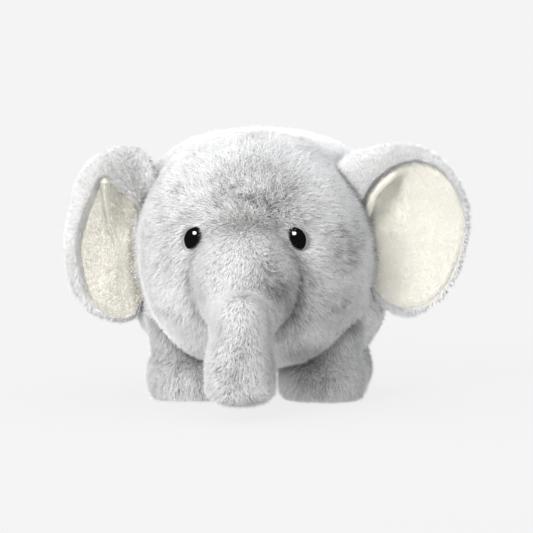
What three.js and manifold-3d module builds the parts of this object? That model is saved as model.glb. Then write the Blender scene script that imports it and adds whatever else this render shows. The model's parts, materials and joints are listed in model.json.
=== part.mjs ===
// A stuffed elephant in fur fabric, standing on four stubby legs and facing -Y.
// Millimetres, +Z up, with the floor at z = 0. The toy's own left is +X.
// Each sewn-on cover is a separate shell, and its stuffing is a separate solid inside it.
import * as THREE from "three";
import { mergeVertices } from "three/addons/utils/BufferGeometryUtils.js";
import Module from "manifold-3d";

const wasm = await Module();
wasm.setup();

// ---- Driving dimensions ----------------------------------------------------

const GAP = 0.4; // kept between neighbouring pieces
const SWING_GAP = 2.4; // kept between moving pieces through their whole swing
const FAR = 400; // longer than the toy, for the boxes that cut pieces apart
const FUR = 5; // fur fabric with its pile pressed down
const LINING = 2.5; // short-pile ear lining
const WADDING = 4; // thin padding inside an ear
const OUTER_STEPS = [26, 16]; // facets round and down an outer surface
const INNER_STEPS = [16, 10]; // facets of a surface hidden inside
const EYE_STEPS = [64, 40]; // facets of the finer layer that the eyes are cut from
const TRUNK_STEPS = [18, 20];
const TRUNK_CORE_STEPS = [12, 12];
const TRUNK_SWEPT_STEPS = [16, 16]; // facets of the space that the trunk swings through
const BALL_STEPS = [18, 12];
const EAR_STEPS = [20, 8];
const LEG_STEPS = 18;
const FOOT_STEPS = 3; // facets down the rounding of a foot
const TAIL_SIDES = 6;
const TAIL_CORE_SIDES = 5;
const TAIL_STEPS = 8;
const EYE_SIDES = 24;
const EYE_COLUMN = 40; // length of the column that an eye is cut with
const SAME_POINT = 1e-4; // closer vertices are one vertex

const HEAD = { centre: [0, -70, 137], radii: [99.5, 97, 102], upper: 2.1, lower: 2.4 };
const BODY = { centre: [0, 20, 132], radii: [116, 89, 106], upper: 2.6, lower: 3.6 };
const NECK_Y = -16; // the head's cover ends here, under the body's cover
const GUSSET_HALF_WIDTH = 32; // strip over the forehead
const BELLY = { halfWidth: 62, top: 62 }; // panel between the legs

const LEG = { x: 59, frontY: -48, hindY: 62, radius: 37.5, soleRadius: 24, round: 13, top: 102 };
const SOLE_THICKNESS = 3;

const EYE = { x: 43, z: 149.5, halfWidth: 8, halfHeight: 9.8, lean: 17, thickness: 1.5 };
const HIGHLIGHT = { radius: 2.4, inward: 2, up: 3.8, thickness: 1 };

// The trunk's middle line lies in the plane x = 0. Each point has half the trunk's width
// there, and half its thickness across the line from top to underside.
const TRUNK_LINE = [
  { y: -110, z: 126, halfWidth: 49, halfDepth: 53 },
  { y: -148, z: 113, halfWidth: 48.5, halfDepth: 52 },
  { y: -186, z: 78, halfWidth: 26.5, halfDepth: 28 },
  { y: -197, z: 45, halfWidth: 28, halfDepth: 26 },
  { y: -197, z: 14, halfWidth: 28.5, halfDepth: 26 },
];
const TRUNK_BEND = 2; // index of the point where the trunk turns down and lifts
const TRUNK_SWAY = 3; // index of the point where its tip sways from side to side
// Degrees of swing, from one limit to the other, at which each piece is kept clear.
const LIFTS = [-12, 8, 30, 50];
const SWAYS = [-25, 0, 25];
const TAIL_SWINGS = [-35, 0, 35];

// An ear is sewn on along the line of its root, and swept back from straight sideways.
const EAR = {
  root: [88, -52, 139],
  leanDegrees: 12,
  tipForwardDegrees: 16,
  middle: 50,
  halfWidth: 54,
  halfHeight: 79,
  cup: 14,
  liningShare: 0.9,
};
const EARS = [
  { side: 1, name: "left_ear", sweep: 10, droop: -1, swings: [-30, -2, 25] },
  { side: -1, name: "right_ear", sweep: 30, droop: 9, swings: [-40, -12, 15] },
];

const TAIL_LINE = [[96, 168], [112, 158], [119, 136], [121, 112]]; // [y, z] in the plane x = 0
const TAIL_ROOT = [106, 160]; // [y, z] of the line it swings about, straight back
const TAIL_RADIUS = 8;
const TAIL_CORE_RADIUS = 4;
const TAIL_TIP_SHARE = 0.25; // of the last stretch, which the filling does not reach
const CLOSING_STITCHES = { halfWidth: 0.7, from: -5, to: 55, thickness: 0.8 };

// ---- Materials -------------------------------------------------------------

const cloth = (color, roughness) =>
  new THREE.MeshStandardMaterial({ color, roughness, metalness: 0 });
const MATERIALS = {
  fur: cloth(0xcdcdca, 0.95),
  lining: cloth(0xf4f1e4, 0.9),
  stuffing: cloth(0xf6f6f4, 1),
  blackThread: cloth(0x0d0d0e, 0.45),
  whiteThread: cloth(0xf2f2f0, 0.5),
  sewingThread: cloth(0xb9b9b6, 0.7),
};

// ---- Solids ----------------------------------------------------------------

// A closed geometry as a manifold solid.
function solidOf(geometry) {
  const bare = new THREE.BufferGeometry();
  bare.setAttribute("position", geometry.getAttribute("position"));
  bare.setIndex(geometry.getIndex());
  const merged = mergeVertices(bare, SAME_POINT);
  const mesh = new wasm.Mesh({
    numProp: 3,
    vertProperties: new Float32Array(merged.attributes.position.array),
    triVerts: new Uint32Array(merged.index.array),
  });
  return new wasm.Manifold(mesh);
}

// A manifold solid as a named mesh.
function pieceOf(name, solid, material) {
  const { numProp, vertProperties, triVerts } = solid.getMesh();
  const geometry = new THREE.BufferGeometry();
  const positions = new THREE.InterleavedBuffer(vertProperties, numProp);
  geometry.setAttribute("position", new THREE.InterleavedBufferAttribute(positions, 3, 0));
  geometry.setIndex(new THREE.BufferAttribute(triVerts, 1));
  geometry.computeVertexNormals();
  const mesh = new THREE.Mesh(geometry, material);
  mesh.name = name;
  return mesh;
}

// A box between two corners.
function block(low, high) {
  const size = high.map((value, axis) => value - low[axis]);
  const geometry = new THREE.BoxGeometry(...size);
  geometry.translate(...low.map((value, axis) => value + size[axis] / 2));
  return solidOf(geometry);
}

// Moves each vertex of a geometry to where `place` puts it.
function reshape(geometry, place) {
  const position = geometry.getAttribute("position");
  const point = new THREE.Vector3();
  for (let i = 0; i < position.count; i += 1) {
    point.fromBufferAttribute(position, i);
    place(point);
    position.setXYZ(i, point.x, point.y, point.z);
  }
  return geometry;
}

// A unit sphere whose poles are on the Z axis.
function unitSphere([around, down]) {
  return new THREE.SphereGeometry(1, around, down).rotateX(Math.PI / 2);
}

// An egg or rounded barrel. A power of 2 is an ellipsoid, and a higher one is boxier.
function roundForm({ centre, radii, upper, lower }, grow, steps) {
  const middle = new THREE.Vector3(...centre);
  const size = new THREE.Vector3(...radii).addScalar(grow);
  return solidOf(
    reshape(unitSphere(steps), (point) => {
      const power = THREE.MathUtils.mapLinear(point.z, -1, 1, lower, upper);
      const sum = point.toArray().reduce((total, value) => total + Math.abs(value) ** power, 0);
      point.multiplyScalar(sum ** (-1 / power)).multiply(size).add(middle);
    }),
  );
}

const grown = (form, grow) => roundForm(form, grow, OUTER_STEPS);
const coarse = (form, grow) => roundForm(form, grow, INNER_STEPS);

// A solid turned about an axis through a point.
function turned(solid, origin, axis, degrees) {
  const turn = new THREE.Matrix4().makeRotationAxis(axis, THREE.MathUtils.degToRad(degrees));
  const matrix = new THREE.Matrix4().makeTranslation(...origin).multiply(turn);
  matrix.multiply(new THREE.Matrix4().makeTranslation(...origin.clone().negate()));
  return solid.transform(matrix.elements);
}

// What is left of a solid once each of the spaces is cut away, without any loose crumbs.
const clearOf = (solid, spaces) =>
  largest(spaces.reduce((left, space) => left.subtract(space), solid));

function largest(solid) {
  const bodies = solid.decompose();
  return bodies.reduce((best, body) => (body.volume() > best.volume() ? body : best));
}

// ---- Head and body ---------------------------------------------------------

const headSpace = grown(HEAD, GAP);
const bodySpace = grown(BODY, GAP);
const leftHalf = block([GAP / 2, -FAR, -FAR], [FAR, FAR, FAR]);
const rightHalf = block([-FAR, -FAR, -FAR], [-GAP / 2, FAR, FAR]);

function bodyPieces() {
  const shell = grown(BODY, 0).subtract(coarse(BODY, -FUR)).subtract(headSpace);
  const bellySpace = block(
    [-BELLY.halfWidth, -FAR, 0],
    [BELLY.halfWidth, FAR, BELLY.top],
  );
  const bellyCut = block(
    [-BELLY.halfWidth + GAP, -FAR, 0],
    [BELLY.halfWidth - GAP, FAR, BELLY.top - GAP],
  );
  const sides = shell.subtract(bellySpace);
  return [
    pieceOf("body_left_panel", sides.intersect(leftHalf), MATERIALS.fur),
    pieceOf("body_right_panel", sides.intersect(rightHalf), MATERIALS.fur),
    pieceOf("belly_panel", shell.intersect(bellyCut), MATERIALS.fur),
    pieceOf("body_filling", coarse(BODY, -FUR - GAP).subtract(headSpace), MATERIALS.stuffing),
  ];
}

function headPieces() {
  const neck = block([-FAR, NECK_Y, -FAR], [FAR, FAR, FAR]);
  const shell = grown(HEAD, 0).subtract(coarse(HEAD, -FUR)).subtract(neck);
  const gussetSpace = block(
    [-GUSSET_HALF_WIDTH, -FAR, HEAD.centre[2]],
    [GUSSET_HALF_WIDTH, FAR, FAR],
  );
  const gussetCut = block(
    [-GUSSET_HALF_WIDTH + GAP, -FAR, HEAD.centre[2] + GAP],
    [GUSSET_HALF_WIDTH - GAP, FAR, FAR],
  );
  const sides = shell.subtract(gussetSpace);
  return [
    pieceOf("head_left_panel", sides.intersect(leftHalf), MATERIALS.fur),
    pieceOf("head_right_panel", sides.intersect(rightHalf), MATERIALS.fur),
    pieceOf("forehead_gusset", shell.intersect(gussetCut), MATERIALS.fur),
    pieceOf("head_filling", coarse(HEAD, -FUR - GAP), MATERIALS.stuffing),
  ];
}

// ---- Eyes: two embroidered ovals, each with a small highlight ---------------

// The part of a layer over the head that lies inside an oval column facing out at `centre`.
function stitchedPatch(centre, halfWidth, halfHeight, lean, low, high) {
  const outward = new THREE.Vector3(...centre).sub(new THREE.Vector3(...HEAD.centre));
  const column = new THREE.CylinderGeometry(1, 1, EYE_COLUMN, EYE_SIDES)
    .rotateX(Math.PI / 2)
    .scale(halfWidth, halfHeight, 1)
    .rotateZ(THREE.MathUtils.degToRad(lean));
  const turn = new THREE.Matrix4().lookAt(outward, new THREE.Vector3(), new THREE.Vector3(0, 0, 1));
  column.applyMatrix4(turn).translate(...centre);
  const layer = roundForm(HEAD, high, EYE_STEPS).subtract(roundForm(HEAD, low, EYE_STEPS));
  return layer.intersect(solidOf(column));
}

// The point of the head's surface at a given x and z, on the face.
function onFace(x, z) {
  const [across, forward, up] = HEAD.radii;
  const level = 1 - (x / across) ** 2 - ((z - HEAD.centre[2]) / up) ** 2;
  return [x, HEAD.centre[1] - forward * Math.sqrt(level), z];
}

function eyePieces(side, name) {
  const centre = onFace(side * EYE.x, EYE.z);
  const eye = stitchedPatch(centre, EYE.halfWidth, EYE.halfHeight, side * EYE.lean,
    2 * GAP, 2 * GAP + EYE.thickness);
  const shine = onFace(side * (EYE.x - HIGHLIGHT.inward), EYE.z + HIGHLIGHT.up);
  const low = 3 * GAP + EYE.thickness;
  const highlight = stitchedPatch(shine, HIGHLIGHT.radius, HIGHLIGHT.radius, 0,
    low, low + HIGHLIGHT.thickness);
  return [
    pieceOf(name + "_eye", eye, MATERIALS.blackThread),
    pieceOf(name + "_eye_highlight", highlight, MATERIALS.whiteThread),
  ];
}

// ---- Trunk -----------------------------------------------------------------

const trunkCurve = new THREE.CatmullRomCurve3(
  TRUNK_LINE.map(({ y, z }) => new THREE.Vector3(0, y, z)),
);
const trunkPoint = (index) => trunkCurve.getPoint(index / (TRUNK_LINE.length - 1));
const trunkTangent = (index) => trunkCurve.getTangent(index / (TRUNK_LINE.length - 1));
const TRUNK_END_ROUND = 0.12; // share of the line over which each end closes

// A size of the trunk at a share of its line, smooth between the listed points.
function trunkSize(key, share) {
  const place = share * (TRUNK_LINE.length - 1);
  const index = Math.min(Math.floor(place), TRUNK_LINE.length - 2);
  const blend = THREE.MathUtils.smoothstep(place - index, 0, 1);
  return THREE.MathUtils.lerp(TRUNK_LINE[index][key], TRUNK_LINE[index + 1][key], blend);
}

// The whole trunk as one round-ended bent tube, grown or shrunk.
function trunkForm(grow, [around, along]) {
  const across = new THREE.Vector3(1, 0, 0);
  const geometry = reshape(unitSphere([around, along]), (point) => {
    const share = (1 - point.z) / 2;
    const ring = Math.hypot(point.x, point.y);
    const toEnd = Math.min(share, 1 - share) / TRUNK_END_ROUND;
    const close = toEnd < 1 ? Math.sqrt(1 - (1 - toEnd) ** 2) : 1;
    const halfWidth = (trunkSize("halfWidth", share) + grow) * close;
    const halfDepth = (trunkSize("halfDepth", share) + grow) * close;
    const forward = trunkCurve.getTangent(share);
    const upward = new THREE.Vector3().crossVectors(across, forward);
    const [sideways, lift] = ring > 0 ? [point.x / ring, point.y / ring] : [0, 0];
    const reach = (share < 0.5 ? -grow : grow) * (1 - close);
    point
      .copy(trunkCurve.getPoint(share))
      .addScaledVector(across, sideways * halfWidth)
      .addScaledVector(upward, lift * halfDepth)
      .addScaledVector(forward, reach);
  });
  return solidOf(geometry);
}

// Everything past one of the trunk's bends, starting `after` beyond it.
function past(index, after) {
  const cut = new THREE.BoxGeometry(FAR, FAR, FAR).translate(0, 0, FAR / 2 + after);
  const turn = new THREE.Quaternion().setFromUnitVectors(
    new THREE.Vector3(0, 0, 1),
    trunkTangent(index),
  );
  return solidOf(cut.applyQuaternion(turn).translate(...trunkPoint(index)));
}

// The trunk from one of its bends onwards, with a ball at the bend that it turns on.
function trunkFrom(index, grow, steps, ballSteps) {
  const ball = unitSphere(ballSteps);
  ball.scale(...new THREE.Vector3().setScalar(TRUNK_LINE[index].halfWidth + grow));
  ball.translate(...trunkPoint(index));
  return trunkForm(grow, steps).intersect(past(index, 0)).add(solidOf(ball));
}

function trunkPieces() {
  const acrossAxis = new THREE.Vector3(-1, 0, 0);
  const forwardAxis = new THREE.Vector3(0, 1, 0);
  const swept = (index) => trunkFrom(index, SWING_GAP, TRUNK_SWEPT_STEPS, BALL_STEPS);
  const bendSpace = swept(TRUNK_BEND);
  const tipSpace = swept(TRUNK_SWAY);
  const liftSpace = LIFTS.map((angle) =>
    turned(bendSpace, trunkPoint(TRUNK_BEND), acrossAxis, angle));
  const swaySpace = SWAYS.map((angle) =>
    turned(tipSpace, trunkPoint(TRUNK_SWAY), forwardAxis, angle));
  const muzzle = clearOf(trunkForm(0, TRUNK_STEPS).subtract(headSpace), liftSpace);
  const upper = clearOf(trunkFrom(TRUNK_BEND, 0, TRUNK_STEPS, BALL_STEPS), swaySpace);
  const hollow = trunkForm(-FUR, TRUNK_CORE_STEPS);
  const core = trunkForm(-FUR - GAP, TRUNK_CORE_STEPS).subtract(headSpace);
  const muzzleCore = core.subtract(past(TRUNK_BEND, -TRUNK_LINE[TRUNK_BEND].halfWidth - SWING_GAP));
  const upperCore = clearOf(core.intersect(past(TRUNK_BEND, GAP)), [tipSpace]);
  const tip = trunkFrom(TRUNK_SWAY, 0, TRUNK_STEPS, BALL_STEPS);
  const tipCore = core.intersect(past(TRUNK_SWAY, GAP));
  return [
    pieceOf("muzzle_cover", largest(muzzle.subtract(hollow)), MATERIALS.fur),
    pieceOf("muzzle_filling", largest(muzzleCore), MATERIALS.stuffing),
    pieceOf("trunk_cover", largest(upper.subtract(hollow)), MATERIALS.fur),
    pieceOf("trunk_filling", upperCore, MATERIALS.stuffing),
    pieceOf("trunk_tip_cover", largest(tip.subtract(hollow)), MATERIALS.fur),
    pieceOf("trunk_tip_filling", tipCore, MATERIALS.stuffing),
  ];
}

// ---- Ears ------------------------------------------------------------------

// The frame that an ear is drawn in: outwards from its root, up it, and towards its front.
function earFrame({ side, sweep, droop }) {
  const lean = THREE.MathUtils.degToRad(EAR.leanDegrees);
  const forward = -Math.tan(THREE.MathUtils.degToRad(EAR.tipForwardDegrees));
  const hinge = new THREE.Vector3(-side * Math.sin(lean), forward, Math.cos(lean)).normalize();
  const outward = new THREE.Vector3(side * Math.cos(lean), 0, Math.sin(lean))
    .applyAxisAngle(hinge, side * THREE.MathUtils.degToRad(sweep));
  const front = new THREE.Vector3().crossVectors(outward, hinge).multiplyScalar(side);
  const drop = -side * THREE.MathUtils.degToRad(droop);
  const up = hinge.clone().applyAxisAngle(front, drop);
  outward.applyAxisAngle(front, drop);
  const root = new THREE.Vector3(side * EAR.root[0], EAR.root[1], EAR.root[2]);
  return { hinge, outward, up, front, root };
}

// One layer of an ear: a cupped oval sheet between two depths, at a share of the ear's size.
function earLayer(frame, share, low, high) {
  const geometry = reshape(unitSphere(EAR_STEPS), (point) => {
    const ring = Math.hypot(point.x, point.y);
    const depth = point.z > 0 ? high : low;
    const cup = EAR.cup * (ring * share) ** 2;
    const rim = Math.abs(point.z) < SAME_POINT ? (low + high) / 2 : depth;
    const across = point.x * share * EAR.halfWidth;
    const height = point.y * share * EAR.halfHeight;
    point
      .copy(frame.root)
      .addScaledVector(frame.outward, EAR.middle + across)
      .addScaledVector(frame.up, height)
      .addScaledVector(frame.front, rim + cup);
  });
  const solid = solidOf(geometry);
  return solid.volume() < 0 ? solidOf(turnedOver(geometry)) : solid;
}

// The same geometry with every face turned over.
function turnedOver(geometry) {
  const index = geometry.getIndex();
  for (let i = 0; i < index.count; i += 3) {
    const first = index.getX(i);
    index.setX(i, index.getX(i + 1));
    index.setX(i + 1, first);
  }
  return geometry;
}

function earPieces(ear) {
  const frame = earFrame(ear);
  const leg = legForm(-SWING_GAP, 0).translate([ear.side * LEG.x, LEG.frontY, 0]);
  const space = grown(HEAD, SWING_GAP).add(grown(BODY, SWING_GAP)).add(leg);
  const spaces = ear.swings.map((angle) =>
    turned(space, frame.root, frame.hinge, -ear.side * angle));
  const layer = (share, low, high) => clearOf(earLayer(frame, share, low, high), spaces);
  const waddingFront = GAP + WADDING;
  const liningBack = waddingFront + GAP;
  const back = layer(1, -FUR, 0);
  const wadding = layer(EAR.liningShare, GAP, waddingFront);
  const lining = layer(EAR.liningShare, liningBack, liningBack + LINING);
  return [
    pieceOf(ear.name + "_back", back, MATERIALS.fur),
    pieceOf(ear.name + "_wadding", wadding, MATERIALS.stuffing),
    pieceOf(ear.name + "_lining", lining, MATERIALS.lining),
  ];
}

// ---- Legs ------------------------------------------------------------------

// A leg's outer form, shrunk by `shrink`: a stubby column with a rounded foot.
function legForm(shrink, bottom) {
  const radius = LEG.radius - shrink;
  const points = [new THREE.Vector2(0, bottom), new THREE.Vector2(radius - LEG.round, bottom)];
  for (let step = 1; step <= FOOT_STEPS; step += 1) {
    const angle = (step / FOOT_STEPS) * (Math.PI / 2);
    points.push(new THREE.Vector2(
      radius - LEG.round + LEG.round * Math.sin(angle),
      bottom + LEG.round * (1 - Math.cos(angle)),
    ));
  }
  points.push(new THREE.Vector2(radius, LEG.top));
  points.push(new THREE.Vector2(0, LEG.top));
  return solidOf(new THREE.LatheGeometry(points, LEG_STEPS).rotateX(Math.PI / 2));
}

function disc(radius, low, high) {
  const geometry = new THREE.CylinderGeometry(radius, radius, high - low, LEG_STEPS);
  return solidOf(geometry.rotateX(Math.PI / 2).translate(0, 0, (low + high) / 2));
}

function legPieces(name, x, y) {
  const placed = (solid) => solid.translate([x, y, 0]);
  const trimmed = (solid) => placed(solid).subtract(headSpace).subtract(bodySpace);
  const soleSpace = disc(LEG.soleRadius + GAP, -1, SOLE_THICKNESS + GAP);
  const tube = legForm(0, 0).subtract(legForm(FUR, SOLE_THICKNESS + GAP)).subtract(soleSpace);
  const filling = legForm(FUR + GAP, SOLE_THICKNESS + 2 * GAP);
  return [
    pieceOf(name + "_leg_cover", trimmed(tube), MATERIALS.fur),
    pieceOf(name + "_leg_filling", trimmed(filling), MATERIALS.stuffing),
    pieceOf(name + "_sole", placed(disc(LEG.soleRadius, 0, SOLE_THICKNESS)), MATERIALS.fur),
  ];
}

// ---- Tail and closing stitches ---------------------------------------------

function roundRod(points, radius, sides, steps) {
  const path = new THREE.CatmullRomCurve3(points);
  const section = new THREE.Shape().absarc(0, 0, radius, 0, 2 * Math.PI);
  const options = { steps, extrudePath: path, curveSegments: sides };
  return solidOf(new THREE.ExtrudeGeometry(section, options));
}

function tailPieces() {
  const points = TAIL_LINE.map(([y, z]) => new THREE.Vector3(0, y, z));
  const rootward = points[0].clone().lerp(points[1], -TAIL_TIP_SHARE);
  const short = points.at(-1).clone().lerp(points.at(-2), TAIL_TIP_SHARE);
  const shorter = short.clone().add(new THREE.Vector3(0, 0, GAP));
  const inner = [rootward, ...points.slice(0, -1)];
  const hollow = roundRod([...inner, short], TAIL_CORE_RADIUS, TAIL_CORE_SIDES, TAIL_STEPS);
  const core = roundRod([...inner, shorter], TAIL_CORE_RADIUS - GAP, TAIL_CORE_SIDES, TAIL_STEPS);
  const cover = roundRod(points, TAIL_RADIUS, TAIL_SIDES, TAIL_STEPS).subtract(hollow);
  const root = new THREE.Vector3(0, TAIL_ROOT[0], TAIL_ROOT[1]);
  const backwards = new THREE.Vector3(0, 1, 0);
  const spaces = TAIL_SWINGS.map((angle) => turned(bodySpace, root, backwards, angle));
  return [
    pieceOf("tail_cover", clearOf(cover, spaces), MATERIALS.fur),
    pieceOf("tail_filling", clearOf(core, spaces), MATERIALS.stuffing),
  ];
}

// The thread that closes the belly after stuffing, along a short line under the toy.
function closingStitches() {
  const { halfWidth, from, to, thickness } = CLOSING_STITCHES;
  const line = block([-halfWidth, from, 0], [halfWidth, to, BELLY.top]);
  return grown(BODY, GAP + thickness).subtract(bodySpace).intersect(line);
}

// ---- The toy ---------------------------------------------------------------

const toy = new THREE.Group();
toy.add(...bodyPieces());
toy.add(...headPieces());
toy.add(...eyePieces(1, "left"), ...eyePieces(-1, "right"));
toy.add(...trunkPieces());
EARS.forEach((ear) => toy.add(...earPieces(ear)));
toy.add(...legPieces("front_left", LEG.x, LEG.frontY));
toy.add(...legPieces("front_right", -LEG.x, LEG.frontY));
toy.add(...legPieces("hind_left", LEG.x, LEG.hindY));
toy.add(...legPieces("hind_right", -LEG.x, LEG.hindY));
toy.add(...tailPieces());
toy.add(pieceOf("closing_stitches", closingStitches(), MATERIALS.sewingThread));

// The toy's box is centred over the origin, with the soles on the floor.
const box = new THREE.Box3().setFromObject(toy);
const middle = box.getCenter(new THREE.Vector3());
toy.position.set(-middle.x, -middle.y, 0);

export default toy;
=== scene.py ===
import json
import math
from dataclasses import dataclass

import bmesh
import bpy
import numpy as np
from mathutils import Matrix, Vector
from mathutils.bvhtree import BVHTree


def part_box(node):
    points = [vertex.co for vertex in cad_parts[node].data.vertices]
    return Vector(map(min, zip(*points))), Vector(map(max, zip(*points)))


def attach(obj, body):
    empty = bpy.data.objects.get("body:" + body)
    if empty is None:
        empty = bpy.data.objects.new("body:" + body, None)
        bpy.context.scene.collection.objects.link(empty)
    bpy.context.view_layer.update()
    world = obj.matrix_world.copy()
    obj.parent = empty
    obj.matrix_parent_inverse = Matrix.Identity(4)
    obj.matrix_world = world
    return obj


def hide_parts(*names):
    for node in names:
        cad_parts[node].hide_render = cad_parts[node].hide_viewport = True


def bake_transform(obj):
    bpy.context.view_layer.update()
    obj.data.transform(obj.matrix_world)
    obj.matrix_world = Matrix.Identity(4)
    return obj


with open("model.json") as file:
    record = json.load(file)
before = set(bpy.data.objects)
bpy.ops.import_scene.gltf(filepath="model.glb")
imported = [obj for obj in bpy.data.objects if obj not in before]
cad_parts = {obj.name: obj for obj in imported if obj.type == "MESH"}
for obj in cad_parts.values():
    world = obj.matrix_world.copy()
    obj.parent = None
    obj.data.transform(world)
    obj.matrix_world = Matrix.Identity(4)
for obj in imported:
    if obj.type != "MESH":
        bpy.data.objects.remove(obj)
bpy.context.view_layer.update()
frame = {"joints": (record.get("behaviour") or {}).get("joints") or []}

MM = 0.001

# ---- Driving dimensions ----

INSET = 2.6  # how far a skin lies under the CAD surface, to leave room for its pile
PILE = 8.5  # length of the fur's tufts
TUFT_WIDTH = 0.66  # thickness of a tuft at its root
HEAD = {"centre": (0, -70, 137), "radii": (99.5, 97, 102), "upper": 2.1, "lower": 2.4}
BODY = {"centre": (0, 20, 132), "radii": (116, 89, 106), "upper": 2.6, "lower": 3.6}
GUSSET_HALF_WIDTH = 32
BELLY_HALF_WIDTH = 62
BELLY_TOP = 62
LEG = {"x": 59, "front_y": -48, "hind_y": 62}
EYE = {"half_width": 7.1, "half_height": 10.3, "lean": 26, "clear": 0.6}  # clear: bald ring round it
HIGHLIGHT = {"radius": 1.8, "inward": 1.4}  # inward: how far it moves from the CAD's spot to the nose

# The trunk's middle line: y, z, half its width, half its thickness.
TRUNK_LINE = np.array([
    (-110, 126, 49, 53),
    (-148, 113, 48.5, 52),
    (-186, 78, 26.5, 28),
    (-197, 45, 28, 26),
    (-197, 14, 28.5, 26),
], float)

EAR = {
    "middle": 50,  # from the root to the middle of the oval
    "half_width": 54,
    "half_height": 79,
    "lean": 1.04,  # how much further the ear leans than its hinge
    "cup": 14,  # how far the rim curls forward
    "cup_limit": 1.35,  # where the cup stops deepening, as a share of the oval squared
    "back": 9.5,  # thickness behind the lining
    "back_folds": 0.3,  # share of the lining's folds that shows on the back
    "puff": 4.5,  # height of the rolled rim over the lining's edge
    "wide_puff": 9,  # what a wider rim adds to that
    "lining": 1.6,  # how far the lining stands in front
    "lining_back": 0.6,
}
EARS = {
    "left": {"side": 1, "sweep": 10, "droop": -1},
    "right": {"side": -1, "sweep": 30, "droop": 9},
}
TAIL_LINE = np.array([(96, 168), (112, 158), (119, 136), (121, 112)], float)
TAIL_RADIUS = 8


def box_corners(node):
    """The lowest and highest corner of a CAD node's box."""
    return [np.array(corner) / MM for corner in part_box(node)]


def box_centre(node):
    low_corner, high_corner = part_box(node)
    return np.array((low_corner + high_corner) / 2) / MM


# The CAD frame is shifted so that the object's box is centred over the origin.
low, high = box_corners("front_left_sole")
SHIFT = np.array([(low[0] + high[0]) / 2 - LEG["x"], (low[1] + high[1]) / 2 - LEG["front_y"], 0])


# ---- Repeatable noise ----

def lattice(cells, seed):
    """A repeatable number from 0 to 1 for each whole-number cell."""
    mixed = cells @ np.array([73856093, 19349663, 83492791]) + seed * 2654435761
    mixed = (mixed ^ (mixed >> 13)) * 1274126177
    return ((mixed ^ (mixed >> 16)) & 0xFFFF) / 0xFFFF


def noise(points, size, seed):
    """Smooth noise from -1 to 1 that changes over about `size`."""
    cell = points / size
    base = np.floor(cell).astype(np.int64)
    part = cell - base
    part = part * part * (3 - 2 * part)
    total = np.zeros(len(points))
    for corner in np.ndindex(2, 2, 2):
        weight = np.prod(np.where(corner, part, 1 - part), axis=1)
        total += weight * lattice(base + np.array(corner), seed)
    return 2 * total - 1


def nearest_clump(points, size, seed):
    """The nearest of a scatter of centres that lie about `size` apart."""
    base = np.floor(points / size).astype(np.int64)
    best = np.full(len(points), np.inf)
    nearest = points.copy()
    for step in np.ndindex(3, 3, 3):
        cell = base + np.array(step) - 1
        place = np.stack([lattice(cell, seed + axis) for axis in range(3)], 1)
        centre = (cell + place) * size
        distance = np.linalg.norm(centre - points, axis=1)
        closer = distance < best
        best[closer] = distance[closer]
        nearest[closer] = centre[closer]
    return nearest


def unit(vectors):
    return vectors / np.maximum(np.linalg.norm(vectors, axis=-1, keepdims=True), 1e-9)


def smooth(value, low_end, high_end):
    part = np.clip((value - low_end) / (high_end - low_end), 0, 1)
    return part * part * (3 - 2 * part)


# ---- Skins ----

@dataclass
class Skin:
    """A closed surface: its points, its faces, and any number kept for each point."""

    points: np.ndarray
    faces: list
    triangles: np.ndarray
    marks: dict

    def normals(self):
        corner = self.points[self.triangles]
        across = np.cross(corner[:, 1] - corner[:, 0], corner[:, 2] - corner[:, 0])
        total = np.zeros_like(self.points)
        for index in range(3):
            np.add.at(total, self.triangles[:, index], across)
        return unit(total)

    def tree(self):
        return BVHTree.FromPolygons(self.points.tolist(), self.triangles.tolist())


def skin_of_rings(first, rings, last, marks=None):
    """A closed surface from a first point, rings of points and a last point."""
    rows, columns = rings.shape[:2]
    points = np.concatenate([[first], rings.reshape(-1, 3), [last]])
    end = len(points) - 1
    faces = []
    for column in range(columns):
        after = (column + 1) % columns
        faces.append((0, 1 + column, 1 + after))
        start = 1 + (rows - 1) * columns
        faces.append((end, start + after, start + column))
        for row in range(rows - 1):
            upper = 1 + row * columns
            lower = upper + columns
            faces.append((upper + column, lower + column, lower + after, upper + after))
    triangles = []
    for face in faces:
        triangles.append(face[:3])
        if len(face) == 4:
            triangles.append((face[0], face[2], face[3]))
    triangles = np.array(triangles)
    corner = points[triangles]
    volume = np.einsum("ij,ij->", corner[:, 0], np.cross(corner[:, 1], corner[:, 2]))
    if volume < 0:
        faces = [face[::-1] for face in faces]
        triangles = triangles[:, ::-1].copy()
    return Skin(points, faces, triangles, marks or {})


def round_form(form, grow, around=96, down=64):
    """An egg or rounded barrel. A power of 2 is an ellipsoid, and a higher one is boxier."""
    turn = np.linspace(0, 2 * np.pi, around, endpoint=False)
    fall = np.linspace(0, np.pi, down + 2)
    level = np.cos(fall)[:, None] * np.ones(around)
    ring = np.sin(fall)[:, None]
    shape = np.stack([ring * np.cos(turn), ring * np.sin(turn), level], -1)
    power = form["lower"] + (form["upper"] - form["lower"]) * (level + 1) / 2
    total = (np.abs(shape) ** power[..., None]).sum(-1)
    shape = shape * (total ** (-1 / power))[..., None]
    shape = shape * (np.array(form["radii"]) + grow) + np.array(form["centre"]) + SHIFT
    return skin_of_rings(shape[0, 0], shape[1:-1], shape[-1, 0])


def form_gap(points, form, grow=0.0):
    """Roughly how far each point lies outside a round form."""
    offset = points - np.array(form["centre"]) - SHIFT
    ratio = offset / (np.array(form["radii"]) + grow)
    power = form["lower"] + (form["upper"] - form["lower"]) * (unit(ratio)[:, 2] + 1) / 2
    level = (np.abs(ratio) ** power[:, None]).sum(1) ** (1 / power)
    return (1 - 1 / np.maximum(level, 1e-6)) * np.linalg.norm(offset, axis=1)


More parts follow.
